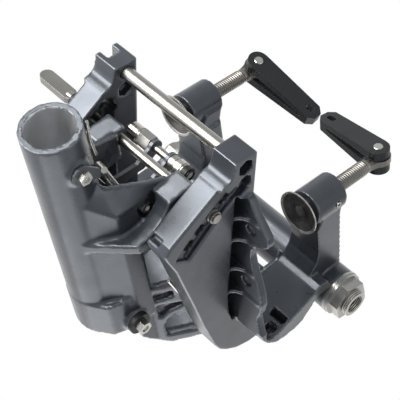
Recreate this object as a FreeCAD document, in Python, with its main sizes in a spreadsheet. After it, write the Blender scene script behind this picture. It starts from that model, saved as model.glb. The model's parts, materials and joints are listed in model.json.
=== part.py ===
import FreeCAD, Part
import math
import os

from FreeCAD import Vector, Rotation, Placement

# Outboard clamp and swivel bracket, drawn as it hangs on a transom: +Z up, +Y to the boat, +X to starboard.
# The origin is the middle of the tilt tube. Sizes are millimetres and degrees.

doc = FreeCAD.newDocument("OutboardSwivelBracket")
sheet = doc.addObject("Spreadsheet::Sheet", "Sizes")

SIZES = {
    # tilt tube and its nuts
    "tube_od": 22.2,
    "tube_bore": 16.0,
    "tube_length": 220.0,
    "tube_fit": 0.05,
    "nut_across": 30.0,
    "nut_height": 11.0,
    "nut_flange_dia": 37.0,
    "nut_flange_height": 2.6,
    "washer_dia": 38.0,
    "washer_thick": 2.4,
    # clamp brackets
    "bracket_inner": 49.3,
    "bracket_outer": 71.0,
    "wing_outer": 68.8,
    "web_thick": 5.0,
    "rim_thick": 6.0,
    "flange_front": -86.4,
    "flange_thick": 6.6,
    "flange_reach": 94.6,
    "recess_back": -101.5,
    "recess_floor": 59.0,
    "gusset_thick": 3.2,
    "ear_bottom": -198.4,
    "ear_depth": 19.6,
    "hook_reach": 97.0,
    "hook_front_reach": 92.0,
    "tilt_boss_dia": 37.4,
    "tilt_boss_end": 92.0,
    "channel_floor": 63.5,
    "channel_strip": 65.2,
    "hole_rim_dia": 8.8,
    "hole_rim_deep": 1.6,
    # thrust rod and its row of holes
    "rod_dia": 7.4,
    "rod_fit": 0.05,
    "rod_hole_radius": 196.8,
    "rod_angle": 37.4,
    "rod_pitch": 3.75,
    "rod_port_end": 70.8,
    "rod_starboard_end": 117.5,
    "rod_grip_start": 81.0,
    "rod_grip_width": 11.0,
    "rod_grip_thick": 5.6,
    # tie rod
    "tie_dia": 10.0,
    "tie_back": -96.0,
    "tie_drop": -189.8,
    # clamp screws
    "screw_spread": 67.3,
    "screw_drop": -95.7,
    "screw_dia": 12.0,
    "screw_fit": 0.05,
    "screw_boss_dia": 29.0,
    "screw_boss_front": 4.4,
    "screw_boss_length": 29.5,
    "pad_dia": 35.4,
    "pad_thick": 2.2,
    "pad_dish": 3.4,
    "pad_face": -33.0,
    "pin_front": 54.5,
    "screw_roll_port": 10.0,
    "screw_roll_starboard": 16.0,
    "pin_dia": 6.0,
    "pin_fit": 0.05,
    "eye_dia": 20.0,
    "eye_thick": 5.0,
    "handle_reach": 66.0,
    "handle_thick": 20.4,
    "handle_tip_thick": 8.2,
    "handle_width": 18.2,
    "handle_tip_width": 16.4,
    "handle_hole_reach": 56.5,
    "handle_swing": 8.2,
    # swivel bracket, in its own upright frame before it leans on the thrust rod
    "lean": 9.1,
    "pivot_back": -156.9,
    "barrel_od": 41.0,
    "barrel_bore": 33.4,
    "barrel_bottom": -265.4,
    "barrel_top": -54.0,
    "head_half": 25.0,
    "head_back": -177.8,
    "head_drop": -92.0,
    "flank_front": -130.0,
    "hub_dia": 38.0,
    "hub_half": 47.6,
    "yoke_half": 46.4,
    "yoke_wall": 6.0,
    "yoke_crest": -5.0,
    "cheek_half": 31.0,
    "block_outer": 46.0,
    "block_bottom": -184.0,
    "block_back": -110.0,
    "shelf_top": -166.5,
    "shelf_thick": 9.0,
    "side_boss_dia": 19.0,
    "side_boss_back": -149.0,
    "side_boss_drop": -63.0,
    "side_boss_end": 32.0,
    "set_back": -4.9,
    "set_dia": 5.0,
    "thread_fit": 0.02,
    "transom_bolt_dia": 8.4,
    "transom_bolt_spread": 77.0,
    "transom_bolt_low": -130.6,
    "transom_bolt_high": -75.0,
    # reverse lock, its pivot and shaft in the swivel bracket's own frame
    "lock_pin_back": -119.0,
    "lock_pin_drop": -162.0,
    "lock_pin_dia": 6.0,
    "lock_pin_half": 21.9,
    "lock_fit": 0.05,
    "lock_shaft_back": -79.3,
    "lock_shaft_drop": -167.7,
    "lock_shaft_dia": 6.0,
    "lock_plate_thick": 3.0,
    "lock_plate_wide": 7.0,
    # bolts and wires on the swivel bracket
    "bolt_dia": 5.0,
    "bolt_head": 8.0,
    "side_bolt_dia": 6.0,
    "side_bolt_head": 10.0,
    "side_washer_dia": 18.0,
    "lug_back": -156.0,
    "lug_drop": -237.0,
    "lug_dia": 18.0,
    "lug_face": 21.4,
    "wire_dia": 2.2,
    "link_dia": 4.4,
}

row = 1
for alias, number in SIZES.items():
    sheet.set("A%d" % row, alias)
    sheet.set("B%d" % row, str(number))
    sheet.setAlias("B%d" % row, alias)
    row += 1
doc.recompute()

PORT = -1
STARBOARD = 1
SIDE_NAMES = {PORT: "port", STARBOARD: "starboard"}


def size(alias):
    return float(sheet.get(alias))


def cell(alias):
    return "Sizes." + alias


# Helpers for bodies, sketches and features

def new_body(label):
    made = doc.addObject("PartDesign::Body", label)
    made.Label = label
    return made


def origin_plane(owner, role):
    for feature in owner.Origin.OriginFeatures:
        if feature.Role == role:
            return feature
    raise RuntimeError("no plane " + role)


def straight(start, end):
    return Part.LineSegment(Vector(start[0], start[1], 0), Vector(end[0], end[1], 0))


def new_sketch(owner, role, offset, outlines, circles=()):
    made = owner.newObject("Sketcher::SketchObject", owner.Name + "Sketch")
    made.AttachmentSupport = [(origin_plane(owner, role), "")]
    made.MapMode = "FlatFace"
    if isinstance(offset, str):
        made.setExpression("AttachmentOffset.Base.z", offset)
    else:
        made.AttachmentOffset = Placement(Vector(0, 0, offset), Rotation())
    for outline in outlines:
        count = len(outline)
        for index in range(count):
            made.addGeometry(straight(outline[index], outline[(index + 1) % count]), False)
    for across, up, radius in circles:
        made.addGeometry(Part.Circle(Vector(across, up, 0), Vector(0, 0, 1), radius), False)
    return made


def set_length(feature, length):
    if isinstance(length, str):
        feature.setExpression("Length", length)
    else:
        feature.Length = length


def pad(owner, sketch, length, reverse=False, both=False):
    made = owner.newObject("PartDesign::Pad", owner.Name + "Pad")
    made.Profile = sketch
    set_length(made, length)
    made.Reversed = reverse
    if both:
        made.SideType = "Symmetric"
    sketch.Visibility = False
    return made


def pocket(owner, sketch, length, reverse=False, both=False):
    made = owner.newObject("PartDesign::Pocket", owner.Name + "Pocket")
    made.Profile = sketch
    set_length(made, length)
    made.Reversed = reverse
    if both:
        made.SideType = "Symmetric"
    return made


def revolve(owner, sketch, axis):
    made = owner.newObject("PartDesign::Revolution", owner.Name + "Revolution")
    made.Profile = sketch
    made.ReferenceAxis = (sketch, [axis])
    made.Angle = 360.0
    return made


def across_pad(owner, side, outlines, start, stop, circles=()):
    """A pad seen from the side: outlines in Y and Z, from X = start out to X = stop, on one side."""
    drawn = new_sketch(owner, "YZ_Plane", "%d * (%s)" % (side, start), outlines, circles)
    return pad(owner, drawn, "(%s) - (%s)" % (stop, start), reverse=side < 0)


def across_pocket(owner, side, outlines, start, stop, circles=()):
    """A pocket seen from the side, from X = start out to X = stop."""
    drawn = new_sketch(owner, "YZ_Plane", "%d * (%s)" % (side, start), outlines, circles)
    return pocket(owner, drawn, "(%s) - (%s)" % (stop, start), reverse=side > 0)


def ring_of(sides, across_flats, middle=(0.0, 0.0), turn=0.0):
    radius = across_flats / 2.0 / math.cos(math.pi / sides)
    points = []
    for index in range(sides):
        angle = math.radians(turn + 360.0 * index / sides)
        points.append((middle[0] + radius * math.cos(angle), middle[1] + radius * math.sin(angle)))
    return points


def arc_points(middle, radius, first, last, count):
    points = []
    for index in range(count + 1):
        angle = math.radians(first + (last - first) * index / count)
        points.append((middle[0] + radius * math.cos(angle), middle[1] + radius * math.sin(angle)))
    return points


def mirrored(points, side):
    return [(side * across, up) for across, up in points]


# Points of the clamp bracket's side view that several features share

TRIM = math.radians(size("rod_angle"))
ROD_AT = (-size("rod_hole_radius") * math.sin(TRIM), -size("rod_hole_radius") * math.cos(TRIM))
TIE_AT = (size("tie_back"), size("tie_drop"))
LOCK_PIN_AT = (size("lock_pin_back"), size("lock_pin_drop"))
LOCK_SHAFT_AT = (size("lock_shaft_back"), size("lock_shaft_drop"))
LUG_AT = (size("lug_back"), size("lug_drop"))
SIDE_BOLT_AT = (size("side_boss_back"), size("side_boss_drop"))
DENT_BOLT_AT = (-119.6, -172.4)
FLANGE_BACK = size("flange_front") - size("flange_thick")
EAR_BACK = size("flange_front") - size("ear_depth")
BAND_TOP = (-159.0, -154.0)
BAND_FOOT = (-114.3, -183.5)
AFT_EDGE = [
    (-163.0, -148.0),
    (-161.0, -142.0),
    (-152.5, -124.0),
    (-145.5, -103.0),
    (-134.5, -70.5),
    (-124.0, -37.5),
    (-112.0, -4.5),
    (-106.0, 6.0),
    (-99.0, 13.0),
]
CREST = [
    (-88.0, 20.5),
    (-75.0, 24.5),
    (-60.0, 25.0),
    (-25.0, 21.5),
]
LEG_BACK = [
    (-18.0, -36.0),
    (-17.0, -48.0),
    (-19.5, -62.0),
    (-22.5, -78.0),
]
# the hook's underside rises towards the flange
FLOOR = [
    (size("flange_front"), -20.0),
    (-84.6, -15.6),
    (-80.0, -13.8),
    (-29.0, -23.6),
    (-24.0, -26.0),
]


def at_hole(number, offset=0.0):
    """A point on the row of thrust rod holes; number 0 is the hole in use, offset is outward."""
    angle = TRIM + math.radians(size("rod_pitch")) * number
    radius = size("rod_hole_radius") + offset
    return (-radius * math.sin(angle), -radius * math.cos(angle))


def side_view():
    """The whole outline of a bracket seen from the side."""
    boss = size("tilt_boss_dia") / 2.0
    front = size("flange_front")
    points = [(EAR_BACK, size("ear_bottom")), (front, size("ear_bottom"))]
    points += FLOOR
    points += LEG_BACK
    points += [(0.0, -82.0), (boss * 0.62, -boss * 0.9)]
    points += arc_points((0.0, 0.0), boss, -30.0, 96.0, 9)
    points += list(reversed(CREST))
    points += list(reversed(AFT_EDGE))
    points += [BAND_TOP, BAND_FOOT, (EAR_BACK - 4.4, -184.6)]
    points += [(EAR_BACK - 2.6, -186.4), (EAR_BACK - 1.6, -189.4), (EAR_BACK - 0.6, -195.0)]
    return points


# Clamp brackets: hollow castings, open towards each other

def clamp_bracket(side):
    made = new_body("clamp_bracket_" + SIDE_NAMES[side])
    inner = cell("bracket_inner")
    outer = cell("bracket_outer")
    wing = cell("wing_outer")
    rim = size("rim_thick")
    front = size("flange_front")
    boss = size("tilt_boss_dia") / 2.0
    reach = size("flange_reach")
    plate = size("wing_outer")
    # side plate, then the thicker ear below it
    across_pad(made, side, [side_view()], inner, wing)
    ear = [
        (EAR_BACK, size("ear_bottom")),
        (front, size("ear_bottom")),
        (front, -160.0),
        (-98.0, -160.0),
        (-104.0, -170.0),
        (BAND_FOOT[0] - 4.0, BAND_FOOT[1] + 2.0),
        BAND_FOOT,
        (EAR_BACK - 4.4, -184.6),
        (EAR_BACK - 2.6, -186.4),
        (EAR_BACK - 1.6, -189.4),
        (EAR_BACK - 0.6, -195.0),
    ]
    across_pad(made, side, [ear], inner, outer)
    # transom flange drawn from behind
    flange = [
        (size("bracket_inner") + rim, -24.0),
        (size("bracket_inner") + rim, -158.0),
        (plate, -160.5),
        (plate + 5.0, -158.0),
        (plate + 12.0, -147.0),
        (plate + 19.0, -139.5),
        (reach - 1.5, -134.0),
        (reach, -130.0),
        (reach - 0.6, -126.0),
        (reach - 4.0, -122.0),
        (reach - 11.0, -117.0),
        (reach - 15.0, -111.0),
        (reach - 15.6, -104.0),
        (reach - 13.0, -95.0),
        (reach - 7.0, -82.0),
        (reach - 2.5, -71.0),
        (reach - 0.4, -62.0),
        (reach - 0.8, -54.0),
        (reach - 2.6, -46.0),
        (reach - 3.2, -38.0),
        (reach - 2.4, -24.0),
    ]
    drawn = new_sketch(made, "XZ_Plane", "-(%s)" % cell("flange_front"), [mirrored(flange, side)])
    pad(made, drawn, cell("flange_thick"))
    # hook over the top of the transom, tapered in plan
    hook = [(FLANGE_BACK, -46.0), (front, -46.0)] + FLOOR
    hook += [(-16.0, -25.0), (-9.0, -15.0), (-17.0, -15.0), (-24.0, -14.2), (-31.0, -10.8), (-36.0, -6.0)]
    hook += [(-41.0, -1.5), (-48.0, 0.6), (-56.0, 0.0), (-66.0, -1.6), (-75.0, -4.8), (-84.0, -11.2)]
    hook += [(-90.0, -19.5), (FLANGE_BACK, -28.0)]
    across_pad(made, side, [hook], inner, cell("hook_reach"))
    taper = [
        (size("hook_reach"), -72.0),
        (size("hook_reach") + 2.0, -72.0),
        (size("hook_reach") + 2.0, 0.0),
        (size("hook_front_reach"), 0.0),
        (size("hook_front_reach"), -22.0),
    ]
    drawn = new_sketch(made, "XY_Plane", -50.0, [mirrored(taper, side)])
    pocket(made, drawn, 70.0, reverse=True)
    blend = [(reach - 3.6, -47.0), (reach - 2.9, -42.0), (reach - 1.2, -35.0), (reach + 1.4, -28.0), (reach + 4.0, -24.0), (reach + 4.0, -47.0)]
    drawn = new_sketch(made, "XZ_Plane", "-(%s) - 1" % cell("flange_front"), [mirrored(blend, side)])
    pocket(made, drawn, cell("flange_thick") + " + 12", reverse=True)
    # tilt tube boss
    across_pad(made, side, [], inner, cell("tilt_boss_end"), circles=[(0.0, 0.0, boss)])
    # inner leg that carries the clamp screw
    leg = [FLOOR[-1]] + LEG_BACK
    leg += [(-15.0, size("screw_drop")), (2.0, size("screw_drop")), (1.0, -84.0), (boss * 0.62, -boss * 0.9)]
    leg += [(0.0, 0.0)]
    across_pad(made, side, [leg], inner + " + 2", cell("screw_spread") + " + 12.7")
    # clamp screw boss
    spot = (side * size("screw_spread"), size("screw_drop"))
    drawn = new_sketch(made, "XZ_Plane", "-(%s)" % cell("screw_boss_front"), [], [spot + (size("screw_boss_dia") / 2.0,)])
    pad(made, drawn, cell("screw_boss_length"))
    # hollow inside, behind the side plate
    hollow = [
        (-108.0, -173.0),
        (-116.0, -176.0),
        (-152.0, -151.0),
        (-154.5, -144.0),
        (-145.5, -122.0),
        (-138.5, -101.0),
        (-127.5, -69.0),
        (-117.0, -36.0),
        (-105.5, -4.0),
        (-94.0, 8.5),
        (-78.0, 16.5),
        (-60.0, 17.5),
        (-32.0, 14.5),
        (-24.0, 10.0),
        (-46.0, 6.5),
        (-66.0, 4.0),
        (-82.0, -1.0),
        (-94.0, -12.0),
        (-107.0, -34.0),
        (-107.0, -160.0),
    ]
    across_pocket(made, side, [hollow], inner, wing + " - Sizes.web_thick")
    # light pockets inside the ear, open inwards
    middle = (front + EAR_BACK) / 2.0
    across_pocket(made, side, [ring_of(6, 11.0, (middle - 1.0, -175.0), 90.0)], inner, inner + " + 7")
    # recess between the side plate and the transom flange, spanned by gussets
    back = size("recess_back")
    recess = [
        (FLANGE_BACK, -156.0),
        (FLANGE_BACK, -36.0),
        (FLANGE_BACK + 1.0, -22.0),
        (back + 6.0, -24.0),
        (back + 2.0, -38.0),
        (back, -60.0),
        (back, -164.0),
    ]
    across_pocket(made, side, [recess], cell("recess_floor"), outer + " + 1")
    deep = size("recess_floor")
    for level, edge in ((-142.0, 83.5), (-119.5, 82.0), (-88.0, 83.5), (-62.0, 91.0)):
        shape = [
            (deep, back - 1.5),
            (plate - 0.6, back - 1.2),
            (plate + 0.8, back + 2.2),
            (plate + 3.2, back + 4.8),
            (plate + 7.0, back + 6.6),
            (edge, FLANGE_BACK - 0.9),
            (edge, FLANGE_BACK + 1.0),
            (deep, FLANGE_BACK + 1.0),
        ]
        drawn = new_sketch(made, "XY_Plane", level, [mirrored(shape, side)])
        pad(made, drawn, cell("gusset_thick"))
    # shallow seat for the row of holes beside the aft band, with a deeper groove along its lip
    seat = [at_hole(-2.3, -4.8), at_hole(0.3, -4.8), at_hole(2.7, -4.8), at_hole(2.9, 9.0), at_hole(1.6, 9.6)]
    seat += [at_hole(0.3, 9.6), at_hole(-1.8, 9.0)]
    across_pocket(made, side, [seat], cell("channel_strip"), outer + " + 1")
    groove = [at_hole(-2.3, -4.8), at_hole(0.3, -4.8), at_hole(2.7, -4.8), at_hole(2.72, -2.6), at_hole(0.3, -2.6), at_hole(-2.3, -2.6)]
    across_pocket(made, side, [groove], cell("channel_floor"), outer + " + 1")
    # thrust rod holes with cast rims
    numbers = (-1, 0, 1, 2)
    holes = [at_hole(number) + (size("rod_dia") / 2.0 + size("rod_fit"),) for number in numbers]
    across_pocket(made, side, [], inner + " - 1", outer + " + 1", circles=holes)
    rims = [at_hole(number) + (size("hole_rim_dia") / 2.0,) for number in numbers]
    across_pocket(made, side, [], "Sizes.channel_strip - Sizes.hole_rim_deep", cell("channel_strip") + " + 1", circles=rims)
    # slot across the aft edge, just above the band
    slot = [(-165.0, -156.0), (-158.0, -154.6), (-155.0, -150.6), (-157.0, -148.8), (-165.0, -151.5)]
    across_pocket(made, side, [slot], inner + " - 1", inner + " + 10.5")
    # bores for the tilt tube, the clamp screw and the tie rod
    tube_hole = size("tube_od") / 2.0 + size("tube_fit")
    across_pocket(made, side, [], inner + " - 1", cell("tilt_boss_end") + " + 10", circles=[(0.0, 0.0, tube_hole)])
    screw_hole = size("screw_dia") / 2.0 + size("screw_fit")
    drawn = new_sketch(made, "XZ_Plane", "-(%s) - 1" % cell("screw_boss_front"), [], [spot + (screw_hole,)])
    pocket(made, drawn, cell("screw_boss_length") + " + 20", reverse=True)
    across_pocket(made, side, [], inner + " - 1", outer + " - 9", circles=[TIE_AT + (size("tie_dia") / 2.0 + 0.05,)])
    # set screw hole in the clamp screw boss
    set_at = (size("set_back"), size("screw_drop") - 1.1)
    across_pocket(made, side, [], cell("screw_spread"), cell("screw_spread") + " + 20", circles=[set_at + (size("set_dia") / 2.0,)])
    # ear pockets: two hexagons on the port side, an open notch on the starboard side
    if side == PORT:
        for drop in (-189.3, -175.0):
            across_pocket(made, side, [ring_of(6, 11.6, (middle, drop), 90.0)], outer + " - 9", outer + " + 1")
    else:
        open_end = [
            (EAR_BACK + 4.2, size("ear_bottom") - 1.0),
            (front - 4.6, size("ear_bottom") - 1.0),
            (front - 4.6, -183.0),
            (EAR_BACK + 4.2, -183.0),
        ]
        across_pocket(made, side, [open_end], outer + " - 9", outer + " + 1")
        across_pocket(made, side, [ring_of(6, 11.6, (middle, -173.0), 90.0)], outer + " - 9", outer + " + 1")
    # two pockets in the underside of the hook, beside the flange
    reach_in = size("hook_reach") - 3.6
    first = [(78.0, -60.2), (reach_in, -60.2), (reach_in, -66.6), (80.0, -66.6)]
    second = [(84.4, -70.6), (reach_in, -70.6), (reach_in, -75.0), (reach_in - 1.6, -78.2), (reach_in - 4.4, -80.0)]
    second += [(reach_in - 7.0, -79.2), (reach_in - 8.6, -76.4)]
    for outline, level in ((first, -24.0), (second, -24.0)):
        drawn = new_sketch(made, "XY_Plane", level, [mirrored(outline, side)])
        pocket(made, drawn, 17.5, reverse=True)
    # bolt holes through the transom flange, between gussets
    bolt = size("transom_bolt_dia") / 2.0
    spots = [(side * size("transom_bolt_spread"), size(alias), bolt) for alias in ("transom_bolt_low", "transom_bolt_high")]
    drawn = new_sketch(made, "XZ_Plane", "-(%s) - 1" % cell("flange_front"), [], spots)
    pocket(made, drawn, cell("flange_thick") + " + 2", reverse=True)
    return made


# Tilt tube, its washers and flanged nuts

def tilt_tube():
    made = new_body("tilt_tube")
    rings = [(0.0, 0.0, size("tube_od") / 2.0), (0.0, 0.0, size("tube_bore") / 2.0)]
    drawn = new_sketch(made, "YZ_Plane", 0.0, [], rings)
    pad(made, drawn, cell("tube_length"), both=True)
    return made


def tilt_washer(side):
    made = new_body("tilt_washer_" + SIDE_NAMES[side])
    seat = cell("tilt_boss_end")
    rings = [(0.0, 0.0, size("washer_dia") / 2.0), (0.0, 0.0, size("tube_od") / 2.0 + size("tube_fit"))]
    across_pad(made, side, [], seat, seat + " + Sizes.washer_thick", circles=rings)
    return made


def tilt_nut(side):
    made = new_body("tilt_nut_" + SIDE_NAMES[side])
    seat = cell("tilt_boss_end") + " + Sizes.washer_thick"
    hole = size("tube_od") / 2.0 + size("thread_fit")
    rings = [(0.0, 0.0, size("nut_flange_dia") / 2.0), (0.0, 0.0, hole)]
    across_pad(made, side, [], seat, seat + " + Sizes.nut_flange_height", circles=rings)
    flats = ring_of(6, size("nut_across"), turn=12.0)
    across_pad(made, side, [flats], seat + " + Sizes.nut_flange_height", seat + " + Sizes.nut_height", circles=[(0.0, 0.0, hole)])
    return made


def tilt_bush(side):
    """Thin plain bush between the hub and the bracket."""
    made = new_body("tilt_bush_" + SIDE_NAMES[side])
    rings = [(0.0, 0.0, size("hub_dia") / 2.0 - 1.0), (0.0, 0.0, size("tube_od") / 2.0 + size("tube_fit"))]
    across_pad(made, side, [], cell("hub_half") + " + 0.05", cell("bracket_inner") + " - 0.05", circles=rings)
    return made


# Tie rod between the lower ends, with a screw at each end

def tie_rod():
    made = new_body("tie_rod")
    drawn = new_sketch(made, "YZ_Plane", 0.0, [], [TIE_AT + (size("tie_dia") / 2.0,)])
    pad(made, drawn, "2 * (Sizes.bracket_outer - 9)", both=True)
    return made


def tie_screw():
    made = new_body("tie_screw_starboard")
    drawn = new_sketch(made, "YZ_Plane", cell("bracket_outer") + " - 9", [], [TIE_AT + (4.9,)])
    pad(made, drawn, 1.2)
    head = new_sketch(made, "YZ_Plane", cell("bracket_outer") + " - 7.8", [], [TIE_AT + (4.3,)])
    pad(made, head, 2.8)
    drive = new_sketch(made, "YZ_Plane", cell("bracket_outer") + " - 4.9", [ring_of(6, 4.4, TIE_AT)])
    pocket(made, drive, 2.2)
    return made


# Thrust rod with a flat grip, and the clip that keeps it in

def thrust_rod():
    made = new_body("thrust_rod")
    radius = size("rod_dia") / 2.0
    drawn = new_sketch(made, "YZ_Plane", "-Sizes.rod_port_end", [], [ROD_AT + (radius,)])
    pad(made, drawn, "Sizes.rod_port_end + Sizes.rod_grip_start + 6")
    half = size("rod_grip_width") / 2.0
    start = size("rod_grip_start")
    end = size("rod_starboard_end")
    outline = [(start, -radius), (start, radius), (start + 4.0, half), (end - half, half)]
    outline += arc_points((end - half, 0.0), half, 75.0, -75.0, 6)
    outline += [(end - half, -half), (start + 4.0, -half)]
    grip = new_sketch(made, "XY_Plane", ROD_AT[1], [[(across, along + ROD_AT[0]) for across, along in outline]])
    pad(made, grip, cell("rod_grip_thick"), both=True)
    return made


def rod_grip_sleeve():
    """Dark sleeve between the bracket and the grip."""
    made = new_body("thrust_rod_sleeve")
    rings = [ROD_AT + (5.4,), ROD_AT + (size("rod_dia") / 2.0 + 0.02,)]
    across_pad(made, STARBOARD, [], cell("bracket_outer") + " + 0.3", cell("rod_grip_start") + " - 0.1", circles=rings)
    return made


def rod_clip():
    made = new_body("thrust_rod_clip")
    hole = size("rod_dia") / 2.0 + 0.02
    start = cell("channel_strip") + " + 0.1"
    for begin, finish, radius in ((0.0, 1.1, 4.9), (1.1, 2.6, 4.1), (2.6, 3.8, 4.7)):
        rings = [ROD_AT + (radius,), ROD_AT + (hole,)]
        across_pad(made, PORT, [], start + " + %s" % begin, start + " + %s" % finish, circles=rings)
    return made


# Clamp screws: pad, screw with a flattened eye, folding handle and its pin

def screw_place(side):
    """A clamp screw stands on its boss's axis, turned a little about it."""
    roll = size("screw_roll_" + SIDE_NAMES[side])
    turn = -roll if side == PORT else roll
    spot = Vector(side * size("screw_spread"), 0, size("screw_drop"))
    return Placement(spot, Rotation(Vector(0, 1, 0), turn))


def handle_place(side):
    swing = size("handle_swing") if side == PORT else 180.0 - size("handle_swing")
    folded = Placement(Vector(0, size("pin_front"), 0), Rotation(Vector(0, 0, 1), swing))
    return screw_place(side).multiply(folded)


def clamp_pad(side):
    made = new_body("clamp_pad_" + SIDE_NAMES[side])
    face = size("pad_face")
    edge = size("pad_dia") / 2.0
    thick = size("pad_thick")
    dish = size("pad_dish")
    ball = size("screw_dia") / 2.0
    drawn = new_sketch(made, "XY_Plane", 0.0, [[
        (ball * 0.62, face + dish),
        (edge * 0.55, face + dish * 0.8),
        (edge, face),
        (edge, face + thick * 0.5),
        (edge * 0.58, face + dish * 0.8 + thick),
        (ball * 1.25, face + dish + thick + 0.6),
        (ball * 1.25, face + dish + thick + 2.2),
        (ball * 0.62, face + dish + thick + 2.2),
    ]])
    revolve(made, drawn, "V_Axis")
    made.Placement = screw_place(side)
    return made


def clamp_screw(side):
    made = new_body("clamp_screw_" + SIDE_NAMES[side])
    face = size("pad_face")
    dish = size("pad_dish")
    radius = size("screw_dia") / 2.0
    neck = radius * 0.62 - 0.05
    shoulder = face + dish + size("pad_thick") + 2.2 + 0.05
    pin = size("pin_front")
    eye = size("eye_dia") / 2.0
    drawn = new_sketch(made, "XY_Plane", 0.0, [[
        (0.0, face + dish - 1.8),
        (neck * 0.7, face + dish - 1.8),
        (neck + 1.2, face + dish - 1.2),
        (neck + 1.2, face + dish - 0.4),
        (neck, face + dish - 0.4),
        (neck, shoulder),
        (radius, shoulder + 0.6),
        (radius, pin - eye - 6.0),
        (radius * 0.85, pin - eye - 1.0),
        (0.0, pin - eye - 1.0),
    ]])
    revolve(made, drawn, "V_Axis")
    # flattened eye that widens from the screw
    outline = [(-radius * 0.86, pin - eye - 4.0), (radius * 0.86, pin - eye - 4.0)]
    outline += arc_points((0.0, pin), eye, -48.0, 228.0, 14)
    flat = new_sketch(made, "XY_Plane", "-Sizes.eye_thick / 2", [outline])
    pad(made, flat, cell("eye_thick"))
    hole = new_sketch(made, "XY_Plane", "-Sizes.eye_thick / 2 - 1", [], [(0.0, pin, size("pin_dia") / 2.0 + size("pin_fit"))])
    pocket(made, hole, cell("eye_thick") + " + 2", reverse=True)
    made.Placement = screw_place(side)
    return made


def clamp_handle(side):
    """A forked lever, thinner towards its tip, drawn from its pin."""
    made = new_body("clamp_handle_" + SIDE_NAMES[side])
    reach = size("handle_reach")
    wide = size("handle_width") / 2.0
    tip = size("handle_tip_width") / 2.0
    thick = size("handle_thick") / 2.0
    tip_thick = size("handle_tip_thick") / 2.0
    plan = arc_points((0.0, 0.0), wide, 90.0, 270.0, 12)
    plan += [(reach - 5.0, -tip), (reach, -tip * 0.45), (reach, tip * 0.45), (reach - 5.0, tip)]
    drawn = new_sketch(made, "XY_Plane", -thick, [plan])
    pad(made, drawn, cell("handle_thick"))
    slope = [(2.0, thick), (reach + 2.0, tip_thick), (reach + 2.0, thick + 4.0), (2.0, thick + 4.0)]
    below = [(across, -up) for across, up in slope]
    drawn = new_sketch(made, "XZ_Plane", 0.0, [slope, below])
    pocket(made, drawn, 80.0, both=True)
    fork = size("eye_thick") / 2.0 + 0.35
    slot = [
        (-wide - 2.0, -fork),
        (15.0, -fork),
        (reach * 0.8, -1.0),
        (reach * 0.84, 0.0),
        (reach * 0.8, 1.0),
        (15.0, fork),
        (-wide - 2.0, fork),
    ]
    drawn = new_sketch(made, "XZ_Plane", 0.0, [slot])
    pocket(made, drawn, 80.0, both=True)
    hole = new_sketch(made, "XY_Plane", -thick - 1.0, [], [(0.0, 0.0, size("pin_dia") / 2.0 + size("pin_fit"))])
    pocket(made, hole, cell("handle_thick") + " + 2", reverse=True)
    centre = size("handle_hole_reach")
    eyelet = arc_points((centre - 2.0, 0.0), 2.4, 90.0, 270.0, 6) + arc_points((centre + 2.0, 0.0), 2.4, -90.0, 90.0, 6)
    drawn = new_sketch(made, "XY_Plane", -thick - 1.0, [eyelet])
    pocket(made, drawn, cell("handle_thick") + " + 2", reverse=True)
    made.Placement = handle_place(side)
    return made


def handle_pin(side):
    made = new_body("handle_pin_" + SIDE_NAMES[side])
    half = size("handle_thick") / 2.0
    radius = size("pin_dia") / 2.0
    drawn = new_sketch(made, "XZ_Plane", 0.0, [[
        (0.0, -half - 0.8),
        (radius + 0.3, -half - 0.8),
        (radius + 0.9, -half - 0.1),
        (radius, -half - 0.05),
        (radius, half + 0.05),
        (radius + 0.9, half + 0.1),
        (radius + 0.3, half + 0.8),
        (0.0, half + 0.8),
    ]])
    revolve(made, drawn, "V_Axis")
    made.Placement = handle_place(side)
    return made


def set_screw(side):
    made = new_body("boss_set_screw_" + SIDE_NAMES[side])
    spot = (size("set_back"), size("screw_drop") - 1.1, size("set_dia") / 2.0 - size("thread_fit"))
    end = cell("screw_spread") + " + Sizes.screw_boss_dia / 2 + 0.4"
    across_pad(made, side, [], cell("screw_spread") + " + Sizes.screw_dia / 2 + 1", end, circles=[spot])
    drive = [ring_of(6, size("set_dia") * 0.5, spot[:2])]
    across_pocket(made, side, drive, end + " - 2", end + " + 1")
    return made


# Swivel bracket: drawn upright, then leaned back about the tilt tube until it meets the thrust rod

LEAN = Placement(Vector(0, 0, 0), Rotation(Vector(1, 0, 0), -size("lean")))


def cheek_section(made, side, along, points):
    drawn = new_sketch(made, "XZ_Plane", -along, [mirrored(points, side)])
    drawn.Visibility = False
    return drawn


def cheek(made, side):
    """Side wall with a sloped, faceted roof, lofted through five cross sections."""
    root = size("shelf_top") + 4.0
    wide = size("cheek_half")
    sections = [
        (-164.6, [(13.0, root), (18.0, root), (17.4, -209.0), (17.0, -213.2), (13.0, -213.2)]),
        (-144.2, [(16.5, root), (wide, root), (wide, -187.0), (21.0, -207.0), (17.2, -213.6)]),
        (-139.0, [(17.0, root), (wide, root), (wide, -186.4), (21.6, -205.4), (17.2, -205.4)]),
        (-112.0, [(22.0, root), (wide, root), (wide, -181.0), (26.4, -190.6), (22.4, -190.6)]),
        (-97.4, [(24.0, root), (wide, root), (wide, -178.0), (28.4, -184.0), (24.4, -184.0)]),
    ]
    drawn = [cheek_section(made, side, along, points) for along, points in sections]
    loft = made.newObject("PartDesign::AdditiveLoft", made.Name + "Cheek")
    loft.Profile = drawn[0]
    loft.Sections = drawn[1:]
    loft.Ruled = True
    return loft


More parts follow.
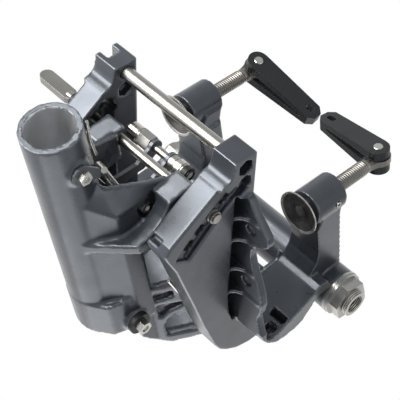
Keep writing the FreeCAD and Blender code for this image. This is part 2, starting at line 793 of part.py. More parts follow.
def swivel_bracket():
    made = new_body("swivel_bracket")
    back = size("pivot_back")
    radius = size("barrel_od") / 2.0
    head = size("head_half")
    wide = size("cheek_half")
    # steering barrel
    drawn = new_sketch(made, "XY_Plane", cell("barrel_bottom"), [], [(0.0, back, radius)])
    pad(made, drawn, "Sizes.barrel_top - Sizes.barrel_bottom")
    # head around the top of the barrel
    nose = [(head, back - 9.0), (12.0, back - 17.8), (6.0, size("head_back") + 0.8), (0.0, size("head_back"))]
    head_plan = [(wide - 2.0, back + 2.0)] + nose + [(-across, along) for across, along in reversed(nose[:-1])]
    head_plan += [(-wide + 2.0, back + 2.0), (-wide + 2.0, -138.0), (wide - 2.0, -138.0)]
    drawn = new_sketch(made, "XY_Plane", cell("head_drop"), [head_plan])
    pad(made, drawn, "Sizes.barrel_top - Sizes.head_drop")
    # flanks that flare from the barrel to the yoke
    flank_plan = [
        (18.6, back - 7.6),
        (wide, back + 12.7),
        (wide, size("flank_front")),
        (-wide, size("flank_front")),
        (-wide, back + 12.7),
        (-18.6, back - 7.6),
    ]
    drawn = new_sketch(made, "XY_Plane", cell("shelf_top"), [flank_plan])
    pad(made, drawn, "Sizes.barrel_top - Sizes.shelf_top")
    # shelf that flares out between the flanks and the cheeks
    outer = size("block_outer")
    shelf = [
        (18.0, back - 10.5),
        (outer - 2.6, back + 12.5),
        (outer, back + 15.0),
        (outer, size("block_back") + 12.6),
        (wide - 6.0, size("block_back") + 12.6),
        (wide - 6.0, size("flank_front")),
    ]
    shelf_plan = shelf + [(-across, along) for across, along in reversed(shelf)]
    drawn = new_sketch(made, "XY_Plane", cell("shelf_top"), [shelf_plan])
    pad(made, drawn, cell("shelf_thick"))
    for side in (PORT, STARBOARD):
        cheek(made, side)
        # thrust block with a ramp that sweeps up from the shelf
        low = size("block_bottom")
        fore = size("block_back") + 12.6
        block = [(-88.6, low), (-88.6, -181.0), (-92.0, -179.3), (fore, -176.9), (fore, size("shelf_top") + 3.0)]
        block += [(-134.0, size("shelf_top") + 3.0), (-134.0, size("shelf_top"))]
        block += [(-126.0, -168.0), (-119.0, -172.0), (-114.0, -177.4), (-111.0, low)]
        across_pad(made, side, [block], cell("cheek_half") + " - 4", cell("block_outer") + " - 1")
        # triangular pocket in the cheek for the side screw
        dent = [
            (-127.5, -180.0),
            (-111.8, -184.6),
            (-110.8, -172.0),
            (-115.5, -167.0),
            (-123.5, -166.9),
            (-126.4, -171.0),
        ]
        across_pocket(made, side, [dent], cell("cheek_half") + " - 5", cell("cheek_half") + " + 1")
        # bosses on both sides of the head
        across_pad(made, side, [], "Sizes.head_half", cell("side_boss_end"), circles=[SIDE_BOLT_AT + (size("side_boss_dia") / 2.0,)])
    # lug for the lever bolt on the lower part of the barrel
    across_pad(made, PORT, [], 8.0, cell("lug_face"), circles=[LUG_AT + (size("lug_dia") / 2.0,)])
    # yoke: two flared arms that grow out of the head, joined by a top plate
    arm = size("yoke_half")
    wall = size("yoke_wall")
    start = size("flank_front") - 4.0
    yoke_plan = [
        (wide - wall, back + 8.0),
        (wide - 1.0, back + 8.0),
        (wide - 1.0, start),
        (arm, -104.0),
        (arm, -14.0),
        (arm - wall, -14.0),
        (arm - wall, -102.0),
        (wide - wall, start + 5.0),
    ]
    for side in (PORT, STARBOARD):
        drawn = new_sketch(made, "XY_Plane", -84.0, [mirrored(yoke_plan, side)])
        pad(made, drawn, 108.0)
    plate = [(-wide + 3.0, start), (wide - 3.0, start), (arm - 1.0, -105.0), (arm - 1.0, -30.0)]
    plate += [(-arm + 1.0, -30.0), (-arm + 1.0, -105.0)]
    drawn = new_sketch(made, "XY_Plane", size("yoke_crest") - 7.0, [plate])
    pad(made, drawn, 7.0)
    # side view of the yoke: cut away what lies above and below the arms
    under = [
        (-113.0, -85.0),
        (-112.0, -64.0),
        (-94.0, -27.0),
        (-84.0, -19.0),
        (-18.0, -15.0),
        (-8.0, -40.0),
        (-8.0, -85.0),
    ]
    crest = size("yoke_crest")
    above = [
        (-152.0, -53.0),
        (-149.4, -44.0),
        (-146.2, -32.0),
        (-141.0, -23.5),
        (-134.5, -13.6),
        (-130.0, crest - 4.0),
        (-125.0, crest),
        (-100.0, crest + 1.0),
        (-60.0, 7.0),
        (-18.0, 15.0),
        (-8.0, 25.0),
        (-152.0, 25.0),
    ]
    drawn = new_sketch(made, "YZ_Plane", 0.0, [under, above])
    pocket(made, drawn, 2.0 * arm + 10.0, both=True)
    # hub around the tilt tube
    drawn = new_sketch(made, "YZ_Plane", 0.0, [], [(0.0, 0.0, size("hub_dia") / 2.0)])
    pad(made, drawn, "2 * Sizes.hub_half", both=True)
    # windows in the flared arms
    for side in (PORT, STARBOARD):
        upper = [
            (-126.8, -16.0),
            (-125.4, -15.2),
            (-98.0, -12.4),
            (-98.0, -34.0),
            (-103.5, -41.0),
            (-110.6, -46.0),
            (-118.6, -45.2),
            (-124.6, -39.0),
            (-127.0, -32.0),
        ]
        middle = [
            (-128.6, -42.0),
            (-123.0, -48.6),
            (-112.4, -53.4),
            (-112.4, -58.6),
            (-128.8, -61.4),
            (-130.0, -60.0),
            (-129.6, -43.0),
        ]
        lower = [(-130.6, -67.4), (-129.6, -66.6), (-117.6, -68.0), (-117.6, -76.4), (-129.8, -77.4), (-130.8, -76.0)]
        for window in (upper, middle, lower):
            across_pocket(made, side, [window], cell("cheek_half") + " - 9", cell("yoke_half") + " + 2")
    # hollow between the cheeks, open below and to the front
    hollow = [(-16.0, back + 27.0), (-22.0, -97.0), (22.0, -97.0), (16.0, back + 27.0)]
    drawn = new_sketch(made, "XY_Plane", -156.0, [hollow])
    pocket(made, drawn, 14.0)
    # holes for the bolts and for the lock's pivot pin
    loose = size("lock_fit")
    for side in (PORT, STARBOARD):
        spot = DENT_BOLT_AT + (size("bolt_dia") / 2.0 + loose,)
        across_pocket(made, side, [], cell("cheek_half") + " - 14", cell("cheek_half") + " - 4", circles=[spot])
        spot = SIDE_BOLT_AT + (size("side_bolt_dia") / 2.0 + loose,)
        across_pocket(made, side, [], cell("side_boss_end") + " - 10", cell("side_boss_end") + " + 1", circles=[spot])
    spot = LOCK_PIN_AT + (size("lock_pin_dia") / 2.0 + loose,)
    drawn = new_sketch(made, "YZ_Plane", 0.0, [], [spot])
    pocket(made, drawn, "2 * Sizes.lock_pin_half + 0.2", both=True)
    spot = LUG_AT + (size("bolt_dia") / 2.0 + loose,)
    across_pocket(made, PORT, [], cell("lug_face") + " - 4", cell("lug_face") + " + 1", circles=[spot])
    # steering bore and tilt bore
    drawn = new_sketch(made, "XY_Plane", cell("barrel_bottom") + " - 1", [], [(0.0, back, size("barrel_bore") / 2.0)])
    pocket(made, drawn, "Sizes.barrel_top - Sizes.barrel_bottom + 2", reverse=True)
    drawn = new_sketch(made, "YZ_Plane", 0.0, [], [(0.0, 0.0, size("tube_od") / 2.0 + size("tube_fit"))])
    pocket(made, drawn, "2 * Sizes.hub_half + 4", both=True)
    made.Placement = LEAN
    return made


def seated_on_swivel(made, along=(0.0, 0.0)):
    """Place a piece drawn about (Y, Z) = along in the swivel bracket's own frame."""
    made.Placement = LEAN.multiply(Placement(Vector(0, along[0], along[1]), Rotation()))
    return made


def turned(label, along, steps, hole=0.0):
    """A piece turned about an axis parallel to X; each step is (from X, to X, radius)."""
    made = new_body(label)
    outline = [(steps[0][0], hole)]
    for begin, finish, radius in steps:
        outline += [(begin, radius), (finish, radius)]
    outline += [(steps[-1][1], hole)]
    revolve(made, new_sketch(made, "XY_Plane", 0.0, [outline]), "H_Axis")
    return seated_on_swivel(made, along)


def hex_bolt(label, along, side, seat, across, height, shank, deep):
    """A hexagon bolt whose head stands outboard of X = seat and whose shank reaches inboard."""
    made = new_body(label)
    drawn = new_sketch(made, "YZ_Plane", "%d * (%s)" % (side, seat), [ring_of(6, across, (0.0, 0.0), 20.0)])
    pad(made, drawn, height, reverse=side < 0)
    drawn = new_sketch(made, "YZ_Plane", "%d * (%s)" % (side, seat), [], [(0.0, 0.0, shank)])
    pad(made, drawn, deep, reverse=side > 0)
    drive = new_sketch(made, "YZ_Plane", "%d * (%s + %s - 1)" % (side, seat, height), [], [(0.0, 0.0, across * 0.3)])
    pocket(made, drive, 2.0, reverse=side > 0)
    return seated_on_swivel(made, along)


def bent_wire(label, points, thick, bend):
    """A round wire of straight runs joined by tangent arcs, in the swivel bracket's own frame."""
    spots = [Vector(*point) for point in points]
    edges = []
    begin = spots[0]
    for index in range(1, len(spots) - 1):
        before = (spots[index - 1] - spots[index]).normalize()
        after = (spots[index + 1] - spots[index]).normalize()
        half = before.getAngle(after) / 2.0
        reach = bend / math.tan(half)
        first = spots[index] + before * reach
        last = spots[index] + after * reach
        inward = (before + after).normalize()
        crown = spots[index] + inward * (bend / math.sin(half) - bend)
        edges.append(Part.LineSegment(begin, first).toShape())
        edges.append(Part.Arc(first, crown, last).toShape())
        begin = last
    edges.append(Part.LineSegment(begin, spots[-1]).toShape())
    spine = Part.Wire(edges)
    ring = Part.Wire([Part.Circle(spots[0], spots[1] - spots[0], thick / 2.0).toShape()])
    made = doc.addObject("Part::Feature", label)
    made.Label = label
    made.Shape = spine.makePipeShell([ring], True, True)
    made.Placement = LEAN
    return made


# Reverse lock: two plates on a pivot pin carry a shaft with its collars and nut

def lock_plate(side, inner):
    made = new_body("lock_plate_" + SIDE_NAMES[side])
    wide = size("lock_plate_wide")
    back, drop = LOCK_PIN_AT
    fore, low = LOCK_SHAFT_AT
    outline = arc_points(LOCK_PIN_AT, wide * 0.85, 80.0, 260.0, 8)
    outline += [(back + 22.0, drop - wide * 0.35)]
    outline += arc_points(LOCK_SHAFT_AT, wide * 0.85, 210.0, 400.0, 8)
    outline += [(fore - 13.0, low + wide * 1.65), (back + 22.0, drop + wide * 0.75)]
    loose = size("lock_fit")
    pin = LOCK_PIN_AT + (size("lock_pin_dia") / 2.0 + loose,)
    shaft = LOCK_SHAFT_AT + (size("lock_shaft_dia") / 2.0 + loose,)
    across_pad(made, side, [outline], str(inner), "%s + Sizes.lock_plate_thick" % inner, circles=[pin, shaft])
    return seated_on_swivel(made)


def lock_pieces():
    shaft = size("lock_shaft_dia") / 2.0
    hole = shaft + size("lock_fit")
    nut = new_body("lock_nut")
    drawn = new_sketch(nut, "YZ_Plane", 11.2, [ring_of(6, 12.0, (0.0, 0.0), 15.0)], [(0.0, 0.0, hole)])
    pad(nut, drawn, 11.2)
    seated_on_swivel(nut, LOCK_SHAFT_AT)
    return [
        lock_plate(PORT, 6.0),
        lock_plate(STARBOARD, 8.0),
        turned("lock_shaft", LOCK_SHAFT_AT, [(-27.4, 33.2, shaft), (33.2, 37.0, 2.0)]),
        nut,
        turned("lock_collar_starboard", LOCK_SHAFT_AT, [(22.6, 24.4, 5.4), (24.4, 33.0, 6.2)], hole),
        turned("lock_collar_port", LOCK_SHAFT_AT, [(-14.0, -9.2, 5.4)], hole),
        turned("lock_ring_port", LOCK_SHAFT_AT, [(-21.8, -20.6, 5.2), (-20.6, -15.4, 6.2), (-15.4, -14.2, 5.2)], hole),
        turned("lock_cap_port", LOCK_SHAFT_AT, [(-28.0, -26.8, 4.4), (-26.8, -22.0, 5.5)], hole),
    ]


# Bolts, washers, link and wires on the swivel bracket

def swivel_fittings():
    pieces = [turned("lock_pivot_pin", LOCK_PIN_AT, [(-size("lock_pin_half"), size("lock_pin_half"), size("lock_pin_dia") / 2.0)])]
    bolt = size("bolt_dia") / 2.0
    for side in (PORT, STARBOARD):
        name = SIDE_NAMES[side]
        pieces.append(hex_bolt("cheek_bolt_" + name, DENT_BOLT_AT, side, "Sizes.cheek_half - 4.95", size("bolt_head"), 3.6, bolt, 8.0))
        washer = new_body("side_washer_" + name)
        rings = [SIDE_BOLT_AT + (size("side_washer_dia") / 2.0,), SIDE_BOLT_AT + (size("side_bolt_dia") / 2.0 + size("lock_fit"),)]
        across_pad(washer, side, [], "Sizes.side_boss_end + 0.05", "Sizes.side_boss_end + 3.8", circles=rings)
        pieces.append(seated_on_swivel(washer))
        pieces.append(hex_bolt("side_bolt_" + name, SIDE_BOLT_AT, side, "Sizes.side_boss_end + 3.9",
                               size("side_bolt_head"), 5.6, size("side_bolt_dia") / 2.0, 12.0))
    pieces.append(hex_bolt("lug_bolt", LUG_AT, PORT, "Sizes.lug_face + 2.2", size("bolt_head"), 4.2, bolt, 5.8))
    lever = new_body("lug_lever")
    outline = arc_points(LUG_AT, 7.4, 110.0, 300.0, 9)
    outline += [(LUG_AT[0] + 12.9, LUG_AT[1] + 4.4), (LUG_AT[0] + 12.2, LUG_AT[1] + 12.2)]
    hole = LUG_AT + (bolt + size("lock_fit"),)
    across_pad(lever, PORT, [outline], "Sizes.lug_face + 0.1", "Sizes.lug_face + 2.1", circles=[hole])
    pieces.append(seated_on_swivel(lever))
    link = size("link_dia") / 2.0
    pieces.append(bent_wire("lock_link", [(-23.4, -140.5, -228.6), (-10.6, -136.3, -219.4), (-1.2, -121.6, -172.0)], 2.0 * link, 5.0))
    wire = size("wire_dia")
    front = size("pivot_back") + math.sqrt((size("barrel_od") / 2.0) ** 2 - 100.0) + wire / 2.0 + 0.1
    pieces.append(bent_wire("barrel_wire", [(-10.0, front + 1.0, -262.0), (-10.0, front, -246.0), (-10.0, front + 1.6, -229.0)], wire, 20.0))
    route = [(-45.0, -124.0, -104.0), (-45.2, -120.5, -92.0), (-47.0, -112.0, -60.0), (-47.2, -107.4, -30.0)]
    pieces.append(bent_wire("side_rod", route, 2.4, 12.0))
    return pieces


# Build everything

frame_parts = [clamp_bracket(PORT), clamp_bracket(STARBOARD), tilt_tube(), tie_rod(), tie_screw()]
frame_parts += [thrust_rod(), rod_grip_sleeve(), rod_clip()]
clamp_parts = []
for side in (PORT, STARBOARD):
    frame_parts += [tilt_bush(side), tilt_washer(side), tilt_nut(side), set_screw(side)]
    clamp_parts += [clamp_pad(side), clamp_screw(side), clamp_handle(side), handle_pin(side)]
swivel_parts = [swivel_bracket()] + swivel_fittings()
sub_parts = frame_parts + clamp_parts + swivel_parts + lock_pieces()

doc.recompute()

# Check, then write one file for each sub-part

for item in doc.Objects:
    if "Invalid" in item.State or "Error" in item.State:
        raise RuntimeError("failed: %s %s" % (item.Label, item.State))

os.makedirs("parts", exist_ok=True)
for item in sub_parts:
    shape = item.Shape
    if shape.isNull() or not shape.isValid():
        raise RuntimeError("bad shape: " + item.Label)
    print("%-28s solids %d volume %.0f" % (item.Label, len(shape.Solids), shape.Volume))
    shape.exportStep("parts/%s.step" % item.Label)
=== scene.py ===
import bpy
import bmesh
import json
import math
from mathutils import Matrix, Vector


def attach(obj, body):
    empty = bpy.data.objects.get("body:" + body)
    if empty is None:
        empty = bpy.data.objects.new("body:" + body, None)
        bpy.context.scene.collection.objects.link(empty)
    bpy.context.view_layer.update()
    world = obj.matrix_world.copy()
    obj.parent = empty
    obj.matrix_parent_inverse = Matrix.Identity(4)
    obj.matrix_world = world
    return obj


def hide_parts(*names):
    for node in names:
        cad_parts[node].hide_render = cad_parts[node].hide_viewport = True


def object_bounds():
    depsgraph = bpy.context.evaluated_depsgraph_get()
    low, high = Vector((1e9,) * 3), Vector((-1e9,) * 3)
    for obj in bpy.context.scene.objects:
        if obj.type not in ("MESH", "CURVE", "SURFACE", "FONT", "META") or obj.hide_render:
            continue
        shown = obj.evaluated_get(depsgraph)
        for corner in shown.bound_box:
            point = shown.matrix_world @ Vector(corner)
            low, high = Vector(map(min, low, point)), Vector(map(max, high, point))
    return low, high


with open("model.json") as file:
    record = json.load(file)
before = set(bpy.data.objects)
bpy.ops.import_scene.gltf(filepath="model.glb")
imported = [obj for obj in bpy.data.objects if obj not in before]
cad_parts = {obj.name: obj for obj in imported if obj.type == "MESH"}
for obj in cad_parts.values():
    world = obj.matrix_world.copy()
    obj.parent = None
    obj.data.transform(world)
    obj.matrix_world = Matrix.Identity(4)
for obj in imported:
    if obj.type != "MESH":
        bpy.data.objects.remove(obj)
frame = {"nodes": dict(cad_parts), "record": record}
cad_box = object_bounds()

scene = bpy.context.scene
scene.view_settings.view_transform = "Standard"
nodes = frame["nodes"]

FULL_TURN = 2.0 * math.pi
WHITE = (1, 1, 1, 1)

# the clamp screws' axes, out from the middle and down from the tilt tube
SCREW_X = 0.0673
SCREW_Z = -0.0957


# Node helpers

# most of a noise texture's values lie in this span
NOISE_LOW, NOISE_HIGH = 0.3, 0.7
# Pointiness from a flat face to a sharp edge, where a painted highlight goes
EDGE_LOW, EDGE_HIGH = 0.52, 0.6
# what one part of blue adds to a grey's green and blue
COOL_GREEN, COOL_BLUE = 0.06, 0.15
BEVEL_SAMPLES = 6


def empty_tree(owner):
    """The node tree of a material or world, with nothing in it."""
    owner.use_nodes = True
    owner.node_tree.nodes.clear()
    return owner.node_tree


def new_material(name):
    made = bpy.data.materials.new(name)
    tree = empty_tree(made)
    out = tree.nodes.new("ShaderNodeOutputMaterial")
    shader = tree.nodes.new("ShaderNodeBsdfPrincipled")
    tree.links.new(shader.outputs["BSDF"], out.inputs["Surface"])
    return made, tree, shader


def feed(tree, target, value):
    """Link a socket to an input, or give the input a fixed value."""
    if isinstance(value, bpy.types.NodeSocket):
        tree.links.new(value, target)
    else:
        target.default_value = value


def object_coords(tree):
    return tree.nodes.new("ShaderNodeTexCoord").outputs["Object"]


def split(tree, coords):
    made = tree.nodes.new("ShaderNodeSeparateXYZ")
    tree.links.new(coords, made.inputs["Vector"])
    return made.outputs["X"], made.outputs["Y"], made.outputs["Z"]


def noise(tree, coords, scale, detail, rough=0.55, stretch=None):
    if stretch is not None:
        mapping = tree.nodes.new("ShaderNodeMapping")
        mapping.inputs["Scale"].default_value = stretch
        tree.links.new(coords, mapping.inputs["Vector"])
        coords = mapping.outputs["Vector"]
    made = tree.nodes.new("ShaderNodeTexNoise")
    made.inputs["Scale"].default_value = scale
    made.inputs["Detail"].default_value = detail
    made.inputs["Roughness"].default_value = rough
    tree.links.new(coords, made.inputs["Vector"])
    return made.outputs["Fac"]


def ramp(tree, factor, low, high, start=NOISE_LOW, stop=NOISE_HIGH):
    """From one colour to another over a span of the factor."""
    made = tree.nodes.new("ShaderNodeValToRGB")
    made.color_ramp.elements[0].position = start
    made.color_ramp.elements[0].color = low
    made.color_ramp.elements[1].position = stop
    made.color_ramp.elements[1].color = high
    tree.links.new(factor, made.inputs["Fac"])
    return made.outputs["Color"]


def remap(tree, value, start, stop, low=0.0, high=1.0):
    """From one number to another over a span of the value."""
    made = tree.nodes.new("ShaderNodeMapRange")
    made.inputs["From Min"].default_value = start
    made.inputs["From Max"].default_value = stop
    made.inputs["To Min"].default_value = low
    made.inputs["To Max"].default_value = high
    tree.links.new(value, made.inputs["Value"])
    return made.outputs["Result"]


def maths(tree, operation, *values):
    made = tree.nodes.new("ShaderNodeMath")
    made.operation = operation
    for target, value in zip(made.inputs, values):
        feed(tree, target, value)
    return made.outputs["Value"]


def mixed(tree, factor, first, second, blend="MIX"):
    """Two colours mixed."""
    made = tree.nodes.new("ShaderNodeMix")
    made.data_type = "RGBA"
    made.blend_type = blend
    feed(tree, made.inputs["Factor"], factor)
    feed(tree, made.inputs["A"], first)
    feed(tree, made.inputs["B"], second)
    return made.outputs["Result"]


def mixed_shaders(tree, factor, first, second):
    made = tree.nodes.new("ShaderNodeMixShader")
    tree.links.new(factor, made.inputs["Fac"])
    tree.links.new(first, made.inputs[1])
    tree.links.new(second, made.inputs[2])
    return made.outputs["Shader"]


def soft_edges(tree, radius):
    made = tree.nodes.new("ShaderNodeBevel")
    made.samples = BEVEL_SAMPLES
    made.inputs["Radius"].default_value = radius
    return made.outputs["Normal"]


def bump(tree, shader, heights, distance, strength=1.0, radius=0.0):
    """Small relief; with a radius, sharp edges are shaded as if rounded too."""
    made = tree.nodes.new("ShaderNodeBump")
    made.inputs["Strength"].default_value = strength
    made.inputs["Distance"].default_value = distance
    tree.links.new(heights, made.inputs["Height"])
    if radius:
        tree.links.new(soft_edges(tree, radius), made.inputs["Normal"])
    tree.links.new(made.outputs["Normal"], shader.inputs["Normal"])


def uneven_roughness(tree, shader, factor, roughness, below, above):
    """Roughness that follows a noise, from this much below its value to this much above."""
    varied = remap(tree, factor, NOISE_LOW, NOISE_HIGH, roughness - below, roughness + above)
    tree.links.new(varied, shader.inputs["Roughness"])


def tone(value, blue=1.0):
    """A grey of this brightness with parts of blue in it."""
    return value, value * (1.0 + COOL_GREEN * blue), value * (1.0 + COOL_BLUE * blue), 1.0


def painted_edge_highlight(tree, colour, shade):
    """Another shade where the surface turns outwards sharply: a painted highlight along the
    edges.
    """
    sharp = tree.nodes.new("ShaderNodeNewGeometry").outputs["Pointiness"]
    return mixed(tree, remap(tree, sharp, EDGE_LOW, EDGE_HIGH), colour, shade)


# Materials; scales are in noise cells a metre, bump distances in metres

MOTTLE_SCALE, MOTTLE_DETAIL, MOTTLE_HIGH = 26.0, 5.0, 0.72
SHEEN_SCALE, SHEEN_DETAIL = 70.0, 3.0
PAINT_GRAIN_SCALE, PAINT_GRAIN_DETAIL = 900.0, 2.0
PAINT_COAT_ROUGHNESS = 0.32
# the blue in the painted edge highlight
EDGE_BLUE = 0.8


def paint(name, dark, light, roughness, metallic,
          grain=0.00004, radius=0.0, coat=0.25, edge=None, blue=1.0):
    """Satin paint: slight mottling, fine grain and, with an edge shade, a painted highlight
    along the sharp edges.
    """
    made, tree, shader = new_material(name)
    coords = object_coords(tree)
    mottle = noise(tree, coords, MOTTLE_SCALE, MOTTLE_DETAIL)
    colour = ramp(tree, mottle, tone(dark, blue), tone(light, blue), stop=MOTTLE_HIGH)
    # the edge shade is a painted highlight along the sharp edges
    if edge:
        colour = painted_edge_highlight(tree, colour, tone(edge, EDGE_BLUE))
    tree.links.new(colour, shader.inputs["Base Color"])
    sheen = noise(tree, coords, SHEEN_SCALE, SHEEN_DETAIL)
    uneven_roughness(tree, shader, sheen, roughness, 0.05, 0.06)
    shader.inputs["Metallic"].default_value = metallic
    shader.inputs["Coat Weight"].default_value = coat
    shader.inputs["Coat Roughness"].default_value = PAINT_COAT_ROUGHNESS
    fine = noise(tree, coords, PAINT_GRAIN_SCALE, PAINT_GRAIN_DETAIL)
    bump(tree, shader, fine, grain, radius=radius)
    return made


LINES_SCALE, LINES_DETAIL, LINES_ROUGH = 60.0, 6.0, 0.6
BLOTCH_SCALE, BLOTCH_DETAIL = 40.0, 3.0
LINES_DEPTH, LINES_STRENGTH = 0.00002, 0.6
METAL_EDGE = 0.0003
EVEN = (1.0, 1.0, 1.0)
ALONG_X = (0.06, 1.0, 1.0)
ALONG_Z = (1.0, 1.0, 0.1)


def bare_metal(name, dark, light, roughness, stretch):
    """Metal with drawn or turned lines along one direction; its relief is still to come."""
    made, tree, shader = new_material(name)
    coords = object_coords(tree)
    lines = noise(tree, coords, LINES_SCALE, LINES_DETAIL, LINES_ROUGH, stretch)
    blotch = noise(tree, coords, BLOTCH_SCALE, BLOTCH_DETAIL)
    tree.links.new(ramp(tree, blotch, dark, light), shader.inputs["Base Color"])
    uneven_roughness(tree, shader, lines, roughness, 0.06, 0.1)
    shader.inputs["Metallic"].default_value = 1.0
    return made, tree, shader, coords, lines


def metal(name, dark, light, roughness, stretch, radius=METAL_EDGE):
    made, tree, shader, _, lines = bare_metal(name, dark, light, roughness, stretch)
    bump(tree, shader, lines, LINES_DEPTH, LINES_STRENGTH, radius)
    return made


THREAD_DEPTH = 0.0004


def threaded(name, dark, light, roughness, start, pitch):
    """Drawn steel with a thread beyond |X| = start."""
    made, tree, shader, coords, _ = bare_metal(name, dark, light, roughness, ALONG_X)
    across, along, height = split(tree, coords)
    turn = maths(tree, "ARCTAN2", height, along)
    phase = maths(tree, "ADD", maths(tree, "MULTIPLY", across, FULL_TURN / pitch), turn)
    beyond = maths(tree, "GREATER_THAN", maths(tree, "ABSOLUTE", across), start)
    ridges = maths(tree, "MULTIPLY", maths(tree, "SINE", phase), beyond)
    bump(tree, shader, ridges, THREAD_DEPTH, radius=METAL_EDGE)
    return made


PLASTIC_GRAIN_SCALE, PLASTIC_GRAIN_DETAIL, PLASTIC_GRAIN_DEPTH = 1400.0, 2.0, 0.00003
PLASTIC_MOTTLE_SCALE, PLASTIC_MOTTLE_DETAIL = 60.0, 4.0
PLASTIC_BLUE = 0.3
PLASTIC_EDGE = 0.0004


def plastic(name, dark, light, roughness):
    made, tree, shader = new_material(name)
    coords = object_coords(tree)
    grain = noise(tree, coords, PLASTIC_GRAIN_SCALE, PLASTIC_GRAIN_DETAIL)
    mottle = noise(tree, coords, PLASTIC_MOTTLE_SCALE, PLASTIC_MOTTLE_DETAIL)
    colour = ramp(tree, mottle, tone(dark, PLASTIC_BLUE), tone(light, PLASTIC_BLUE))
    tree.links.new(colour, shader.inputs["Base Color"])
    uneven_roughness(tree, shader, grain, roughness, 0.06, 0.08)
    bump(tree, shader, grain, PLASTIC_GRAIN_DEPTH, radius=PLASTIC_EDGE)
    return made


RING_WEAR_SCALE, RING_WEAR_DETAIL = 220.0, 4.0
RING_WEAR_SHADE, RING_WEAR_LOW, RING_WEAR_HIGH = (0.75, 0.74, 0.72, 1), 0.35, 0.6
# radians of wave a metre of radius
RING_WAVES = 3900.0
RING_DEPTH, RING_STRENGTH = 0.00012, 0.9


def rings(name, rim, inside, outside, roughness):
    """Turned steel about the clamp screws' axes: one colour inside the rim, one beyond it."""
    made, tree, shader = new_material(name)
    coords = object_coords(tree)
    across, _, height = split(tree, coords)
    aside = maths(tree, "SUBTRACT", maths(tree, "ABSOLUTE", across), SCREW_X)
    above = maths(tree, "SUBTRACT", height, SCREW_Z)
    aside_squared = maths(tree, "POWER", aside, 2.0)
    above_squared = maths(tree, "POWER", above, 2.0)
    radius = maths(tree, "SQRT", maths(tree, "ADD", aside_squared, above_squared))
    colour = mixed(tree, maths(tree, "GREATER_THAN", radius, rim), inside, outside)
    worn = noise(tree, coords, RING_WEAR_SCALE, RING_WEAR_DETAIL)
    wear_shade = ramp(tree, worn, RING_WEAR_SHADE, WHITE, RING_WEAR_LOW, RING_WEAR_HIGH)
    tree.links.new(mixed(tree, 1.0, colour, wear_shade, "MULTIPLY"), shader.inputs["Base Color"])
    uneven_roughness(tree, shader, worn, roughness, 0.05, 0.08)
    shader.inputs["Metallic"].default_value = 1.0
    waves = maths(tree, "SINE", maths(tree, "MULTIPLY", radius, RING_WAVES))
    bump(tree, shader, waves, RING_DEPTH, RING_STRENGTH, METAL_EDGE)
    return made


# the castings' lighter edge shade, 0.3, is a painted highlight
CASTING = paint("casting_paint", 0.08, 0.108, 0.3, 0.55, coat=0.4, edge=0.3, blue=1.7)
# painted shade for the inside of the rod holes
PAINTED_HOLE_SHADE = paint("casting_painted_hole_shade", 0.012, 0.02, 0.5, 0.2, coat=0.1)
MACHINED = metal("machined_aluminium", (0.74, 0.75, 0.76, 1), (0.86, 0.87, 0.88, 1),
                 0.45, ALONG_Z, radius=0.0)
PAD = rings("clamp_pad_steel", 0.0158, (0.16, 0.155, 0.15, 1), (0.7, 0.68, 0.63, 1), 0.33)
HANDLE = paint("handle_coat", 0.01, 0.016, 0.42, 0.0, grain=0.00006, radius=0.0006, coat=0.1)
LEVER = paint("lever_paint", 0.12, 0.16, 0.36, 0.5, radius=0.0005)
DARK = plastic("dark_plastic", 0.014, 0.022, 0.45)
TUBE = threaded("tilt_tube_steel", (0.5, 0.48, 0.44, 1), (0.62, 0.6, 0.56, 1),
                0.3, start=0.1053, pitch=0.0016)
SCREW = metal("clamp_screw_steel", (0.2, 0.185, 0.165, 1), (0.36, 0.34, 0.31, 1),
              0.36, EVEN, radius=0.0)
STEEL_X = metal("drawn_steel", (0.4, 0.385, 0.355, 1), (0.5, 0.485, 0.45, 1), 0.3, ALONG_X)
STEEL = metal("bright_steel", (0.62, 0.6, 0.55, 1), (0.76, 0.74, 0.69, 1), 0.24, EVEN)
ZINC = metal("zinc_steel", (0.42, 0.41, 0.38, 1), (0.6, 0.59, 0.56, 1), 0.34, EVEN)

# by the start of a node's name, the longest that fits; any other node is bright steel
LOOKS = {
    "clamp_bracket": CASTING,
    "swivel_bracket": CASTING,
    "clamp_handle": HANDLE,
    "lug_lever": LEVER,
    "lock_plate": LEVER,
    "side_washer": DARK,
    "tilt_bush": DARK,
    "thrust_rod_sleeve": DARK,
    "lock_cap": DARK,
    "lock_collar_port": ZINC,
    "lock_nut": ZINC,
    "boss_set_screw": ZINC,
    "tilt_nut": ZINC,
    "tilt_washer": ZINC,
    "thrust_rod": STEEL_X,
    "tie_rod": STEEL_X,
    "tilt_tube": TUBE,
    "clamp_pad": PAD,
    "clamp_screw": SCREW,
    "lock_shaft": STEEL_X,
}


def wear(owner, material):
    """One material over the whole mesh."""
    owner.data.materials.clear()
    owner.data.materials.append(material)
    for face in owner.data.polygons:
        face.material_index = 0


for name in nodes:
    fitting = [start for start in LOOKS if name.startswith(start)]
    wear(nodes[name], LOOKS[max(fitting, key=len)] if fitting else STEEL)


# Castings again, with the soft edges and fillets that a mould leaves

CLAMP_VOXEL = 0.001
SWIVEL_VOXEL = 0.0013
SMOOTHING, SMOOTHING_ROUNDS = 0.5, 2

# the row of thrust-rod holes, by reach and angle about the tilt tube
ROD_HOLE_REACH = 0.1968
ROD_HOLE_ANGLES = [math.radians(45.1 + 3.75 * step) for step in range(4)]
ROD_HOLE_RADIUS = 0.00375
ROD_HOLE_SIDES = 40
ROD_RIM_RADIUS = 0.0046
# faces that look less than this far along X are the holes' walls
WALL_LOOK = 0.8

# the wall behind them: along the row, across it, and through it along X
FLOOR_ANGLES = (math.radians(41.6), math.radians(57.0))
FLOOR_REACH = (0.1901, 0.2072)
FLOOR_SPAN = (0.0608, 0.0639)
FLOOR_STEPS = 12
PLUG_SPARE = 0.002


def body_of(name):
    for body, members in frame["record"]["behaviour"]["bodies"].items():
        if name in members:
            return body
    raise ValueError(name)


